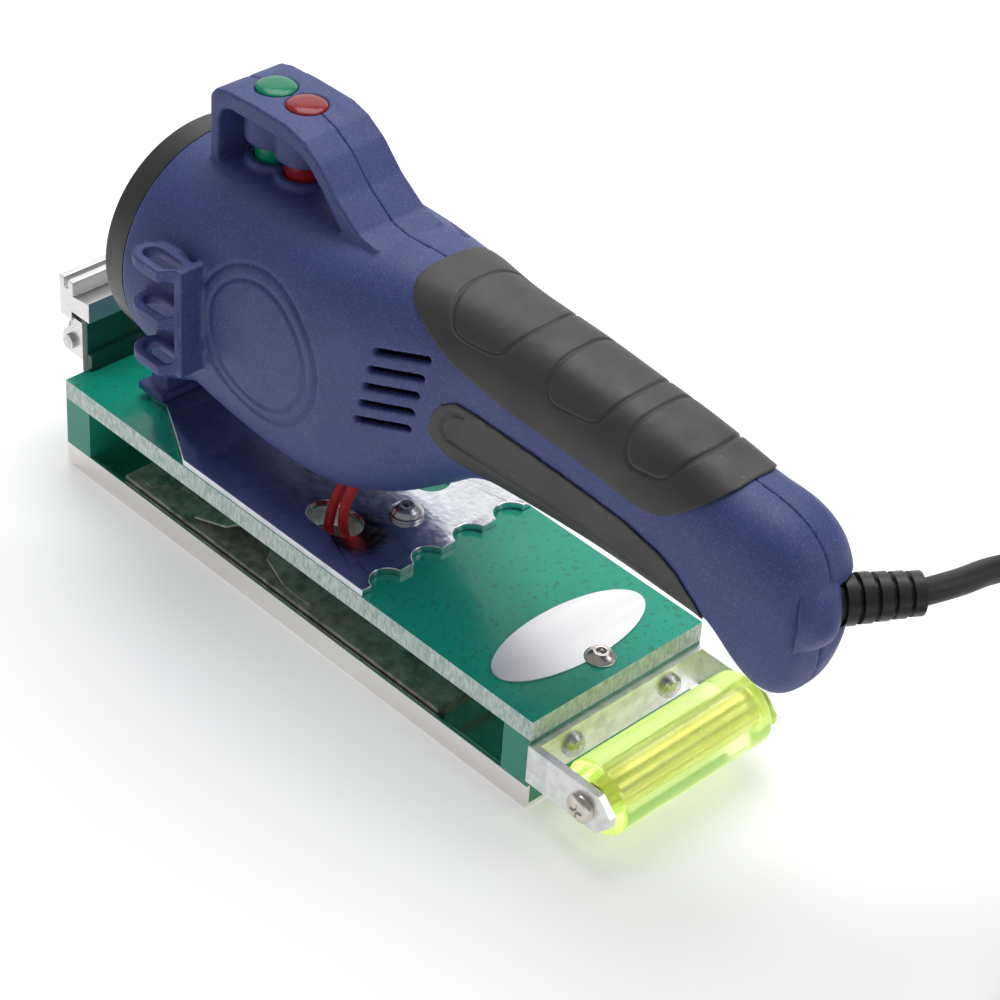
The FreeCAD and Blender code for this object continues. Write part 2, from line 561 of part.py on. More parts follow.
def housing_section(x, top, bottom, middle, half_width, power, shrink):
    """A closed rounded section across the tool, made smaller all round by shrink."""
    points = []
    for k in range(SECTION_POINTS):
        angle = 2 * math.pi * k / SECTION_POINTS
        across, up = math.cos(angle), math.sin(angle)
        height = (top - middle if up >= 0 else middle - bottom) - shrink
        points.append(Vector(x, math.copysign(abs(across) ** (2 / power), across) * (half_width - shrink),
                             middle + math.copysign(abs(up) ** (2 / power), up) * height))
    curve = Part.BSplineCurve()
    curve.interpolate(Points=points, PeriodicFlag=True)
    return Part.Wire(curve.toShape())


def housing_body(name, shrink, first=None, last=None):
    """The housing's smooth body, offset inwards by shrink, between two stations."""
    chosen = [station for station in STATIONS
              if (first is None or station[0] >= first) and (last is None or station[0] <= last)]
    wires = [housing_section(*station, shrink) for station in chosen]
    return own_shape(name, Part.makeLoft(wires, True, False))


BRIDGE_OUTLINE = [
    (-62.2, 118), (-62.2, 150.6), (-60.2, 153.3), (-55.5, 154.6), (-43, 155.5), (-28, 155.5),
    (-21, 153.6), (-14, 149.3), (-6, 141.4), (4.5, 134.3), (12, 133.0), (12, 118), (2, 118),
    (-3, 131), (-6, 134.5), (-12, 141.2), (-17.5, 146.2), (-22, 148.6), (-28, 149.6),
    (-53, 149.2), (-56.8, 147.6), (-58.4, 144), (-58.4, 118),
]
SCREW_PLACES = [(-62, 114), (-58, 66), (20, 66), (24, 122), (154, 90)]
TOP_GRIP = [(27.8, 140), (28.2, 133.6), (30, 131.2), (33, 128.8), (37, 126.5), (41, 124), (45, 121.5),
            (50, 119), (56, 117.3), (70, 114.8), (98, 112.6), (124, 109.6), (129.5, 110.6),
            (137, 115.3), (144.6, 122.4), (147.5, 125.2), (147.5, 140)]
SIDE_GRIP = [(45.6, 94), (46.6, 99), (49.4, 104), (54.5, 107.1), (60, 107.2), (86, 105.6),
             (118, 102.7), (131, 99.6), (138, 96.4), (144.5, 90), (147, 84.6), (60, 84.2),
             (52, 86.2), (47.4, 90)]


def button_x(k):
    return "dims.button_front_x + %d * dims.button_pitch" % k


def make_housing():
    outer = housing_body("housing_outer", 0)
    hollow = housing_body("housing_hollow", size["shell_wall"], first=-67, last=171)
    bridge = outline_pad("bridge_block", BRIDGE_OUTLINE, "XZ_Plane",
                         "-dims.bridge_half_width", "dims.bridge_half_width")
    leg_front = "dims.tongue_x - dims.leg_thickness / 2"
    leg_rear = "dims.tongue_x + dims.leg_thickness / 2"
    under_disc = "dims.disc_z - dims.disc_radius - 1.2"
    leg = outline_pad("leg_block", [
        (leg_front, STAND_TOP), (leg_front, under_disc), ("dims.disc_rear", under_disc),
        ("dims.disc_rear", "58"), ("-58", "58"), ("-62", "50"), ("-70", "46.5"), (leg_rear, "43"),
        (leg_rear, STAND_TOP),
    ], "XZ_Plane", "-dims.leg_half_width", "dims.leg_half_width")
    foot = block("foot_flange", leg_front + " - dims.foot_overhang", leg_rear + " + dims.foot_overhang",
                 "-dims.foot_half_width", "dims.foot_half_width", STAND_TOP,
                 STAND_TOP + " + dims.foot_thickness")
    collars = [rod("collar%d" % k, "Z", "dims.collar_radius", "dims.collar_bottom", "dims.collar_top",
                   button_x(k), "0") for k in range(2)]
    bosses = [rod("guide_boss%d" % k, "Z", "dims.guide_boss_radius", "dims.guide_boss_bottom",
                  "dims.bridge_top - 2", button_x(k), "0") for k in range(2)]
    loops, eyes = key_holder()
    mass = fuse("housing_mass", outer, bridge, leg, foot, *collars, *bosses, *loops)

    # the cavity leaves screw bosses and ribs for the switch carrier, the circuit board and the cord clamp
    inside = [rod("boss%d" % k, "Y", "dims.boss_radius", "-45", "45", "%g" % x, "%g" % z)
              for k, (x, z) in enumerate(SCREW_PLACES)]
    carrier_bottom = "dims.switch_top - dims.switch_height - dims.carrier_thickness"
    for k, x in enumerate((-56, -26)):
        inside.append(block("carrier_rib%d" % k, "%g" % (x - 1.5), "%g" % (x + 1.5), "-45", "45",
                            carrier_bottom + " - 4", carrier_bottom))
    for k, x in enumerate((68, 114)):
        inside.append(block("board_rib%d" % k, "%g" % (x - 1.5), "%g" % (x + 1.5), "6", "45",
                            "100", "116"))
    inside += [rod("collar_wall%d" % k, "Z", "dims.collar_radius", "dims.collar_bottom",
                   "dims.collar_top", button_x(k), "0") for k in range(2)]
    cavity = cut("housing_cavity", hollow, *inside)

    bores = [rod("button_bore%d" % k, "Z", "dims.button_radius + dims.button_clearance",
                 "dims.collar_bottom - 1", "dims.bridge_top + 1", button_x(k), "0") for k in range(2)]
    bore = size["housing_screw_radius"]
    bore_profile = [(0, -14), (bore, -14), (bore, 14), (3.2, 14), (3.2, 45), (0, 45)]
    screw_bores = [turned("screw_bore%d" % k, bore_profile, "Y", "%g" % x, "0", "%g" % z)
                   for k, (x, z) in enumerate(SCREW_PLACES)]
    socket = block("tongue_socket",
                   "dims.tongue_x - dims.stand_thickness / 2 - dims.tongue_clearance",
                   "dims.tongue_x + dims.stand_thickness / 2 + dims.tongue_clearance",
                   "-dims.tongue_half_width - dims.tongue_clearance",
                   "dims.tongue_half_width + dims.tongue_clearance",
                   STAND_TOP + " - 1", STAND_TOP + " + dims.tongue_height + 0.5")
    lead_exit = rod("lead_exit", "Z", "8.6", "40", "60", "3.5", "-7")
    holes = bores + screw_bores + [socket, lead_exit, relief_socket()] + make_vents() + eyes
    for side, start, end in (("left", "-60", "0"), ("right", "0", "60")):
        half_space = block(side + "_half", "-140", "200", start, end, "0", "200")
        half_mass = common("housing_%s_mass" % side, mass, half_space)
        shell = cut("housing_%s_shell" % side, half_mass, cavity)
        part("housing_" + side, cut("housing_%s_open" % side, shell, *holes))

    # the grips lie on the handle as a moulded-on layer
    skin = housing_body("grip_skin", -size["grip_rise"], first=18, last=160)
    bed = housing_body("grip_bed", -size["grip_bond"], first=18, last=160)
    layer = cut("grip_layer", skin, bed)
    for label, corners in (("top_grip", TOP_GRIP), ("side_grip", SIDE_GRIP)):
        for side, start, end in (("left", "-40", "0"), ("right", "0", "40")):
            zone = outline_pad("%s_%s_zone" % (label, side), corners, "XZ_Plane", start, end)
            part("%s_%s" % (label, side), common("%s_%s_cut" % (label, side), layer, zone))


def key_holder():
    """Three loops and a post on the left side, and the loops' eyes."""
    solids, eyes = [], []
    for k in range(3):
        bottom = "dims.ring_bottom + %d * dims.ring_pitch" % k
        top = bottom + " + dims.ring_height"
        solids.append(slot("ring%d" % k, "dims.ring_length", "dims.ring_width", "dims.ring_x",
                           "dims.ring_y", bottom, top))
        eyes.append(slot("ring_eye%d" % k, "dims.ring_length - 2 * dims.ring_bar",
                         "dims.ring_width - 2 * dims.ring_bar", "dims.ring_x", "dims.ring_y",
                         bottom + " - 1", top + " + 1"))
    post_rear = "dims.ring_x + dims.ring_length / 2"
    solids.append(block("ring_post", post_rear + " - dims.ring_bar", post_rear,
                        "dims.ring_y - dims.ring_width / 2", "-31", "dims.ring_bottom",
                        "dims.ring_bottom + 2 * dims.ring_pitch + dims.ring_height"))
    return solids, eyes


def make_vents():
    """Five sloping slots through each side wall, behind the roundel."""
    vents = []
    for k in range(5):
        centre = Vector(32.6 + 1.2 * (4 - k) * -1 + 2.4, 0, 88.6 + size["vent_pitch"] * k)
        length, width = size["vent_length"], size["vent_width"]
        slab = Part.makeBox(length, 90, width, Vector(-length / 2, -45, -width / 2))
        obj = own_shape("vent%d" % k, slab)
        obj.Placement = Placement(centre, Rotation(Vector(0, 1, 0), -13))
        vents.append(obj)
    return vents


def make_disc():
    radius, depth = size["disc_radius"], size["disc_rear"] - size["disc_front"]
    disc = turned("disc_turned", [
        (0, 0.8), (radius - 9, 0.8), (radius - 8, 0), (radius - 1.8, 0), (radius - 0.8, 1), (radius, depth),
        (0, depth)], "X", "dims.disc_front", "0", "dims.disc_z")
    part("front_disc", disc)


# ---------------------------------------------------------------- buttons and electrics

def make_buttons():
    top = size["bridge_top"]
    radius = size["button_radius"]
    stem = size["stem_radius"]
    shoulder = size["button_shoulder"]
    for k, label in enumerate(("green_button", "red_button")):
        profile = [(0, size["stem_bottom"]), (stem, size["stem_bottom"]), (stem, shoulder),
                   (radius, shoulder), (radius, top - 0.2), (radius - 0.9, top + 0.35),
                   (radius - 3, top + size["button_rise"]), (0, top + size["button_rise"] + 0.1)]
        part(label, turned(label + "_turned", profile, "Z", button_x(k), "0", "0"))
        half = "dims.switch_size / 2"
        part(label.replace("button", "switch"),
             block(label + "_switch", "%s - %s" % (button_x(k), half), "%s + %s" % (button_x(k), half),
                   "-" + half, half, "dims.switch_top - dims.switch_height", "dims.switch_top"))
        part(label.replace("button", "spring"), make_spring(label + "_spring", button_x(k)))
    carrier_top = "dims.switch_top - dims.switch_height"
    part("switch_carrier", block("carrier_slab", "-59", "-23", "-14", "14",
                                 carrier_top + " - dims.carrier_thickness", carrier_top))


def make_spring(name, x):
    """A coil spring between the switch and the button's shoulder."""
    wire_radius = size["spring_wire"] / 2
    length = size["button_shoulder"] - size["switch_top"] - 2 * wire_radius
    per_turn = 8
    steps = int(size["spring_coils"]) * per_turn
    route = [Vector(size["spring_radius"] * math.cos(2 * math.pi * k / per_turn),
                    size["spring_radius"] * math.sin(2 * math.pi * k / per_turn), length * k / steps)
             for k in range(steps + 1)]
    path, _, _ = rounded_route(route)
    section = Part.Wire(Part.makeCircle(wire_radius, route[0], (route[1] - route[0]).normalize()))
    obj = own_shape(name, path.makePipeShell([section], True, False))
    return bind(obj, {"Placement.Base.x": x,
                      "Placement.Base.z": "dims.switch_top + dims.spring_wire / 2"})


def make_electrics():
    board_face = 4.4
    part("control_board", block("board_slab", "60", "122", "%g" % board_face, "6", "96", "120"))
    part("relay", block("relay_case", "66", "82", "%g - 11" % board_face, "%g" % board_face, "100", "116"))
    part("capacitor", rod("capacitor_can", "Y", "5", "%g - 10" % board_face, "%g" % board_face, "94", "108"))
    part("terminal_block", block("terminal_case", "103", "119", "%g - 9" % board_face,
                                 "%g" % board_face, "102", "114"))


def make_housing_screws():
    screws = []
    for k, (x, z) in enumerate(SCREW_PLACES):
        radius = size["housing_screw_radius"]
        profile = [(0, -13), (radius, -12), (radius, 14), (3.0, 14), (3.0, 15.2), (2.2, 16.4), (0, 16.6)]
        screws.append(turned("housing_screw%d" % k, profile, "Y", "%g" % x, "0", "%g" % z))
    part("housing_screws", fuse("housing_screw_set", *screws))


# ---------------------------------------------------------------- cord

RELIEF_ROOT = Vector(164.5, -9.0, 98)
CORD_START = Vector(186.0, 27.0, 97)
CORD_ROUTE = [
    CORD_START, Vector(189.3, 39.5, 96), Vector(189.4, 52, 94), Vector(192.1, 65.8, 91),
    Vector(199.9, 77.5, 87), Vector(211.6, 85.3, 81.5), Vector(225.4, 88, 75), Vector(239.5, 87, 68),
    Vector(253.5, 84.4, 61.5), Vector(268, 81.4, 55.5), Vector(283, 80, 51.5),
]
COIL_CENTRE = Vector(283, 40, 0)
TAIL_ROUTE = [
    Vector(311.3, 68.3, 3.8), Vector(322, 57, 3.9), Vector(331, 45, 4.8), Vector(336.5, 31, 6.6),
    Vector(338.5, 17, 7.8),
]


def relief_direction():
    direction = CORD_START - RELIEF_ROOT
    return direction.normalize()


def relief_socket():
    """The round hole that the strain relief leaves the housing by."""
    reach = 60
    start = RELIEF_ROOT - relief_direction()
    return own_shape("relief_hole", Part.makeCylinder(size["relief_root_radius"] + 0.1, reach, start,
                                                      relief_direction()))


def make_relief():
    """A ribbed rubber sleeve round the cord, with a flange held inside the housing."""
    length = (CORD_START - RELIEF_ROOT).Length
    root, tip = size["relief_root_radius"], size["relief_tip_radius"]
    profile = [(0, 0), (root, 0), (root, 13)]
    ribs = 6
    pitch = (length - 13) / ribs
    for k in range(ribs):
        radius = root + (tip - root) * (k + 1) / ribs
        start = 13 + k * pitch
        profile += [(radius - 1.6, start), (radius - 1.6, start + 0.32 * pitch),
                    (radius, start + 0.32 * pitch), (radius, start + pitch)]
    profile += [(0, length)]
    points = [Vector(radius, 0, along) for radius, along in profile]
    body = Part.Face(Part.makePolygon(points + [points[0]])).revolve(Vector(), Vector(0, 0, 1), 360)
    obj = own_shape("relief_turned", body)
    obj.Placement = Placement(RELIEF_ROOT, Rotation(Vector(0, 0, 1), relief_direction()))
    part("strain_relief", obj)


def rounded_route(route):
    """Straight runs joined by tangent arcs that are as large as the runs allow."""
    edges = []
    radii = []
    length = 0.0
    here = route[0]
    for before, corner, after in zip(route, route[1:], route[2:]):
        inward = (corner - before).normalize()
        outward = (after - corner).normalize()
        turn = inward.getAngle(outward)
        trim = 0.45 * min((corner - before).Length, (after - corner).Length)
        radius = trim / math.tan(turn / 2)
        radii.append(radius)
        start, end = corner - inward * trim, corner + outward * trim
        bow = (outward - inward).normalize()
        centre_distance = math.hypot(radius, trim)
        middle = corner + bow * (centre_distance - radius)
        edges.append(Part.LineSegment(here, start).toShape())
        edges.append(Part.Arc(start, middle, end).toShape())
        length += (start - here).Length + radius * turn
        here = end
    edges.append(Part.LineSegment(here, route[-1]).toShape())
    length += (route[-1] - here).Length
    return Part.Wire(edges), radii, length


def make_tube(name, route):
    path, radii, length = rounded_route(route)
    radius = size["cord_radius"]
    first_run = (route[1] - route[0]).normalize()
    section = Part.Wire(Part.makeCircle(radius, route[0], first_run))
    tube = path.makePipeShell([section], True, False)
    expected = math.pi * radius ** 2 * length
    print("%s: smallest radius %.1f mm, length %.1f mm, volume / (section x length) %.4f"
          % (name, min(radii), length, tube.Volume / expected))
    print(name, "radii", [round(value, 1) for value in radii])
    return own_shape(name + "_tube", tube), length


def make_cord():
    lead, lead_length = make_tube("power_cord", CORD_ROUTE)
    part("power_cord", lead)
    tail, tail_length = make_tube("cord_tail", TAIL_ROUTE)
    part("cord_tail", tail)
    diameter = 2 * size["cord_radius"]
    height = (size["coil_turns"] + 1) * diameter
    corner = 0.8 * size["cord_radius"]
    inner = size["coil_radius"] - size["cord_radius"]
    outer = size["coil_radius"] + size["cord_radius"]
    profile = [(inner + corner, 0), (outer - corner, 0), (outer, corner), (outer, height - corner),
               (outer - corner, height), (inner + corner, height), (inner, height - corner), (inner, corner)]
    coil = turned("coil_ring", profile, "Z", "%g" % COIL_CENTRE.x, "%g" % COIL_CENTRE.y, "0")
    tie_size = 1.0
    tie_outer = block("tie_outer", "%g" % (COIL_CENTRE.x - outer - tie_size),
                      "%g" % (COIL_CENTRE.x - inner + tie_size), "%g" % (COIL_CENTRE.y - 4),
                      "%g" % (COIL_CENTRE.y + 4), "0", "%g" % (height + tie_size))
    tie_inner = block("tie_inner", "%g" % (COIL_CENTRE.x - outer), "%g" % (COIL_CENTRE.x - inner),
                      "%g" % (COIL_CENTRE.y - 5), "%g" % (COIL_CENTRE.y + 5), "-1", "%g" % height)
    part("cord_coil", coil)
    part("cord_tie", cut("tie", tie_outer, tie_inner))
    wound = size["coil_turns"] * 2 * math.pi * size["coil_radius"]
    total = lead_length + tail_length + wound
    print("cord length %.0f mm in all" % total)
    heading = (TAIL_ROUTE[-1] - TAIL_ROUTE[-2]).normalize()
    flat = Vector(heading.x, heading.y, 0).normalize()
    make_plug(TAIL_ROUTE[-1], flat)


def make_plug(start, direction):
    """A moulded two-pin plug that lies flat, with its rear end on the cord."""
    half_thick = 8.4
    turn = Rotation(Vector(1, 0, 0), direction)
    outline = [(0, 5.5), (10, 6.5), (22, 13), (34, 17.5), (40, 17.5)]
    points = [Vector(x, y, 0) for x, y in outline] + [Vector(x, -y, 0) for x, y in reversed(outline)]
    face = Part.Face(Part.makePolygon(points + [points[0]]))
    moulding = face.extrude(Vector(0, 0, 2 * half_thick - 2))
    plug = own_shape("plug_moulding", moulding)
    plug.Placement = Placement(Vector(start.x, start.y, 0.6), turn)
    part("plug", plug)
    pins = []
    for k, side in enumerate((-1, 1)):
        pin = Part.makeCylinder(2.4, 19, Vector(40, side * 9.5, half_thick - 1), Vector(1, 0, 0))
        obj = own_shape("plug_pin%d" % k, pin)
        obj.Placement = Placement(Vector(start.x, start.y, 0.6), turn)
        pins.append(obj)
    part("plug_pins", fuse("plug_pin_pair", *pins))


LEAD_RADIUS = 1.6
LEAD_ROUTES = [
    [Vector(3, -3.5, 62), Vector(0.8, -7.6, 49), Vector(-0.6, -14.6, 38), Vector(1.6, -19.2, 27.5),
     Vector(8.6, -15.6, 19.5), Vector(19, -5.6, 15.6)],
    [Vector(7.2, -4.5, 62), Vector(5.4, -9.2, 49.5), Vector(4.4, -15.4, 38), Vector(6.6, -16.4, 27),
     Vector(11.4, -9.0, 19.6), Vector(18.5, 4.2, 15.6)],
]


def make_leads():
    """Two sleeved heater leads from the belly of the head, through the oval hole, to the thermostat."""
    for k, route in enumerate(LEAD_ROUTES):
        path, radii, _ = rounded_route(route)
        print("heater lead radii", [round(value, 1) for value in radii])
        section = Part.Wire(Part.makeCircle(LEAD_RADIUS, route[0], (route[1] - route[0]).normalize()))
        tube = own_shape("lead%d" % k, path.makePipeShell([section], True, False))
        part("heater_lead_%d" % (k + 1), tube)


# ---------------------------------------------------------------- assembly

make_sole()
make_end_block("front_block", "-" + HALF_LENGTH, "-%s + dims.front_block_length" % HALF_LENGTH,
               "dims.front_screw_x")
make_end_block("rear_block", "%s - dims.rear_block_length" % HALF_LENGTH, HALF_LENGTH, "dims.plate_screw_x")
part("rear_block", make_rear_block_holes(parts["rear_block"]))
make_heater()
make_top_plate()
make_stand_plate()
make_base_screws()
make_plaque()
make_bracket()
make_roller()
make_front()
make_housing()
make_disc()
make_buttons()
make_electrics()
make_housing_screws()
make_relief()
make_cord()
make_leads()
doc.recompute()

# ---------------------------------------------------------------- checks and export

for obj in doc.Objects:
    if "Invalid" in obj.State or "Error" in obj.State:
        raise RuntimeError("%s failed: %s" % (obj.Name, obj.State))
for label, obj in parts.items():
    if obj.Shape.isNull() or not obj.Shape.isValid() or not obj.Shape.Solids:
        raise RuntimeError("%s has no valid solid" % label)
for label, obj in sorted(parts.items()):
    obj.Shape.exportStep(os.path.join("parts", label + ".step"))
    box = obj.Shape.BoundBox
    print("%-20s solids %d  volume %9.0f  x %.1f..%.1f y %.1f..%.1f z %.1f..%.1f"
          % (label, len(obj.Shape.Solids), obj.Shape.Volume, box.XMin, box.XMax, box.YMin, box.YMax,
             box.ZMin, box.ZMax))
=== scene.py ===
"""The looks of the hand-held edge bander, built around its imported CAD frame.

The camera, lights and materials are in metres. The shapes are in millimetres, turned by MM.
"""
import math

import bmesh
import bpy
import numpy as np
from mathutils import Matrix, Vector


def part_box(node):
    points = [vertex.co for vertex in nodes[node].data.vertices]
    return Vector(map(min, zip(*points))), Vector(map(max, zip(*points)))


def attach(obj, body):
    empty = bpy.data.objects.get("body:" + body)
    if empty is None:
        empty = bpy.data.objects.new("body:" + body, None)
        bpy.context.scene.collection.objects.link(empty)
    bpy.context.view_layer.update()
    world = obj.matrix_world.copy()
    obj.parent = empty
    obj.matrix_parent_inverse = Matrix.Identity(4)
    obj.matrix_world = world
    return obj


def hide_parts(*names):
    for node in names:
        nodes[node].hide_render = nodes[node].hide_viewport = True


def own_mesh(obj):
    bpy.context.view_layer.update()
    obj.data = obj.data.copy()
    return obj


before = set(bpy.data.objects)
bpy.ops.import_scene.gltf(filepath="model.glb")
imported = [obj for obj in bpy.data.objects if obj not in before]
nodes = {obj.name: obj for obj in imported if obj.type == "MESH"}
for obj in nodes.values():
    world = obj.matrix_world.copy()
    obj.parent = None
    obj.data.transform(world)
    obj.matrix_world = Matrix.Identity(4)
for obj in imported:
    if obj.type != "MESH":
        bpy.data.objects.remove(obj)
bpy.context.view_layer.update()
MM = 0.001


# ---------------------------------------------------------------- camera

# where the fitted camera stands, and its own right-hand and viewing directions
CAMERA_PLACE = (0.52807, -0.49529, 0.5806)
CAMERA_RIGHT = (0.68961958, 0.72162043, 0.0607355)
CAMERA_FORWARD = (-0.55115622, 0.57741159, -0.60234763)
CAMERA_LENS = 105.83
SENSOR_WIDTH = 36


def make_camera():
    right = Vector(CAMERA_RIGHT)
    forward = Vector(CAMERA_FORWARD)
    turn = Matrix((right, right.cross(forward), -forward)).transposed()
    data = bpy.data.cameras.new("camera")
    data.sensor_width = SENSOR_WIDTH
    data.lens = CAMERA_LENS
    camera = bpy.data.objects.new("camera", data)
    camera.matrix_world = Matrix.Translation(CAMERA_PLACE) @ turn.to_4x4()
    bpy.context.scene.collection.objects.link(camera)
    bpy.context.scene.camera = camera


make_camera()


# ---------------------------------------------------------------- materials

# where each effect starts and where it is full, as shares of the value that drives it
CLOUD_SPAN = (0.35, 0.65)
GLOSS_SPAN = (0.3, 0.7)
# the next two spans and the patch wave shape the painted edge highlight
HIGHLIGHT_PATCH_SPAN = (0.35, 0.6)
EDGE_SPAN = (0.53, 0.6)
LEVEL_SPAN = (0.3, 0.8)
SPECK_SOFTNESS = 0.08
SPECK_TO_GRAIN = 1.6
GLOSS_TO_CLOUD = 0.4
HIGHLIGHT_PATCH_WAVE = 0.004
FIBRE_WAVE = 0.0011
FIBRE_STRETCH = (1, 1, 0.4)


def node(tree, kind, **values):
    """A shader node with its settings, or its inputs where the name is an input's."""
    made = tree.nodes.new("ShaderNode" + kind)
    for name, value in values.items():
        if hasattr(made, name):
            setattr(made, name, value)
        else:
            put(tree, made.inputs[name.replace("_", " ")], value)
    return made


def put(tree, socket, value):
    if isinstance(value, bpy.types.NodeSocket):
        tree.links.new(value, socket)
    elif isinstance(value, tuple) and len(value) == 3 and socket.type == "RGBA":
        socket.default_value = (*value, 1)
    else:
        socket.default_value = value


def noise(tree, where, wavelength, detail=3.0, stretch=(1, 1, 1)):
    """Noise of about that wavelength in metres, from 0 to 1."""
    scaled = node(tree, "Mapping", Scale=tuple(s / wavelength for s in stretch))
    tree.links.new(where, scaled.inputs["Vector"])
    made = node(tree, "TexNoise", Scale=1.0, Detail=detail, Roughness=0.55)
    tree.links.new(scaled.outputs["Vector"], made.inputs["Vector"])
    return made.outputs["Fac"]


def ramp(tree, value, low, high, to_low=0.0, to_high=1.0):
    made = node(tree, "MapRange")
    for name, number in zip(("Value", "From Min", "From Max", "To Min", "To Max"),
                            (value, low, high, to_low, to_high)):
        put(tree, made.inputs[name], number)
    return made.outputs["Result"]


def blend(tree, share, a, b):
    made = node(tree, "Mix", data_type="RGBA")
    for socket, value in zip((made.inputs[0], made.inputs[6], made.inputs[7]), (share, a, b)):
        put(tree, socket, value)
    return made.outputs[2]


def material(name, base, second, wave=0.02, rough=(0.4, 0.55), grain=0.0004, bump=0.1, metal=0.0,
             speck=None, speck_share=0.66, edge_highlight=None, sides=None, stretch=(1, 1, 1), **shader):
    """A surface with cloudy colour, uneven gloss and a fine grain.

    speck is the colour of its speckle, edge the colour of a painted highlight laid in patches on
    its sharpest edges, and sides the two colours of its cut faces, which are the upright ones.
    """
    made = bpy.data.materials.new(name)
    made.use_nodes = True
    tree = made.node_tree
    surface = tree.nodes["Principled BSDF"]
    place = node(tree, "TexCoord").outputs["Object"]
    clouds = ramp(tree, noise(tree, place, wave, 4.0, stretch), *CLOUD_SPAN)
    colour = blend(tree, clouds, base, second)
    if speck:
        spots = ramp(tree, noise(tree, place, grain * SPECK_TO_GRAIN, 1.0),
                     speck_share, speck_share + SPECK_SOFTNESS)
        colour = blend(tree, spots, colour, speck)
    if sides:
        upright = node(tree, "SeparateXYZ")
        tree.links.new(tree.nodes["Texture Coordinate"].outputs["Normal"], upright.inputs[0])
        facing = node(tree, "Math", operation="ABSOLUTE")
        put(tree, facing.inputs[0], upright.outputs["Z"])
        fibres = ramp(tree, noise(tree, place, FIBRE_WAVE, 3.0, FIBRE_STRETCH), *CLOUD_SPAN)
        cut_face = blend(tree, fibres, *sides)
        colour = blend(tree, ramp(tree, facing.outputs[0], *LEVEL_SPAN), cut_face, colour)
    # painted highlight: the sharpest outer edges turn lighter, in patches from a noise
    if edge_highlight:
        edge_sharpness = node(tree, "NewGeometry").outputs["Pointiness"]
        highlight_patches = noise(tree, place, HIGHLIGHT_PATCH_WAVE)
        share = node(tree, "Math", operation="MULTIPLY")
        put(tree, share.inputs[0], ramp(tree, edge_sharpness, *EDGE_SPAN))
        put(tree, share.inputs[1], ramp(tree, highlight_patches, *HIGHLIGHT_PATCH_SPAN))
        colour = blend(tree, share.outputs[0], colour, edge_highlight)
    put(tree, surface.inputs["Base Color"], colour)
    put(tree, surface.inputs["Roughness"],
        ramp(tree, noise(tree, place, wave * GLOSS_TO_CLOUD, 5.0, stretch), *GLOSS_SPAN, *rough))
    if metal:
        surface.inputs["Metallic"].default_value = metal
    fine = noise(tree, place, grain, 2.0, stretch)
    relief = node(tree, "Bump", Strength=bump, Distance=grain * 0.5)
    put(tree, relief.inputs["Height"], fine)
    put(tree, surface.inputs["Normal"], relief.outputs["Normal"])
    for key, value in shader.items():
        surface.inputs[key.replace("_", " ")].default_value = value
    return made


NAVY = material("navy_nylon", (0.044, 0.063, 0.215), (0.052, 0.075, 0.25), rough=(0.46, 0.58),
                grain=0.00034, bump=0.32, speck=(0.085, 0.11, 0.32), speck_share=0.56,
                edge_highlight=(0.09, 0.115, 0.31))
GRIP = material("grip_rubber", (0.046, 0.042, 0.042), (0.06, 0.055, 0.055), rough=(0.42, 0.56),
                grain=0.0003, bump=0.2, edge_highlight=(0.11, 0.1, 0.1))
DISC = material("disc_plastic", (0.03, 0.03, 0.032), (0.045, 0.045, 0.047), rough=(0.32, 0.46),
                grain=0.0005, bump=0.12, edge_highlight=(0.12, 0.12, 0.12))
BLACK = material("moulded_black", (0.012, 0.011, 0.012), (0.022, 0.02, 0.021), rough=(0.3, 0.45),
                 grain=0.0004, bump=0.12, edge_highlight=(0.05, 0.05, 0.05))
SHEATH = material("cord_sheath", (0.01, 0.008, 0.009), (0.018, 0.015, 0.016), wave=0.01,
                  rough=(0.42, 0.55), grain=0.0006, bump=0.1)
LAMINATE = material("green_laminate", (0.01, 0.4, 0.265), (0.014, 0.46, 0.31), wave=0.03,
                    rough=(0.12, 0.24), grain=0.0012, bump=0.03, speck=(0.02, 0.31, 0.21),
                    speck_share=0.6, sides=((0.4, 0.56, 0.5), (0.78, 0.86, 0.82)))
BLOCK_LAMINATE = material("block_laminate", (0.014, 0.29, 0.2), (0.018, 0.33, 0.225), wave=0.03,
                          rough=(0.16, 0.3), grain=0.0012, bump=0.04)
DARK_LAMINATE = material("dark_laminate", (0.012, 0.085, 0.065), (0.015, 0.1, 0.075), wave=0.03,
                         rough=(0.2, 0.32), grain=0.001, bump=0.05)
BOARD = material("heater_board", (0.13, 0.16, 0.14), (0.2, 0.23, 0.2), rough=(0.35, 0.5),
                 bump=0.1, edge_highlight=(0.4, 0.4, 0.36))
PLASTIC_INNER = material("inner_moulding", (0.02, 0.02, 0.02), (0.035, 0.035, 0.035))
PCB = material("circuit_laminate", (0.015, 0.16, 0.05), (0.02, 0.2, 0.07), rough=(0.2, 0.35))
RELAY = material("relay_blue", (0.01, 0.07, 0.3), (0.015, 0.09, 0.36), rough=(0.25, 0.35))
STAINLESS = material("stainless_sheet", (0.8, 0.76, 0.74), (0.9, 0.87, 0.85), rough=(0.14, 0.26),
                     metal=1.0, grain=0.0012, bump=0.05, stretch=(0.15, 1, 1),
                     edge_highlight=(0.9, 0.88, 0.86))
ZINC = material("zinc_plate", (0.62, 0.65, 0.72), (0.78, 0.8, 0.85), wave=0.006,
                rough=(0.1, 0.26), metal=1.0, grain=0.002, bump=0.06, edge_highlight=(0.86, 0.88, 0.9))
ALUMINIUM = material("mill_aluminium", (0.7, 0.7, 0.7), (0.82, 0.82, 0.81), rough=(0.26, 0.42),
                     metal=1.0, grain=0.0006, bump=0.08, stretch=(1, 0.12, 1),
                     edge_highlight=(0.92, 0.92, 0.92))
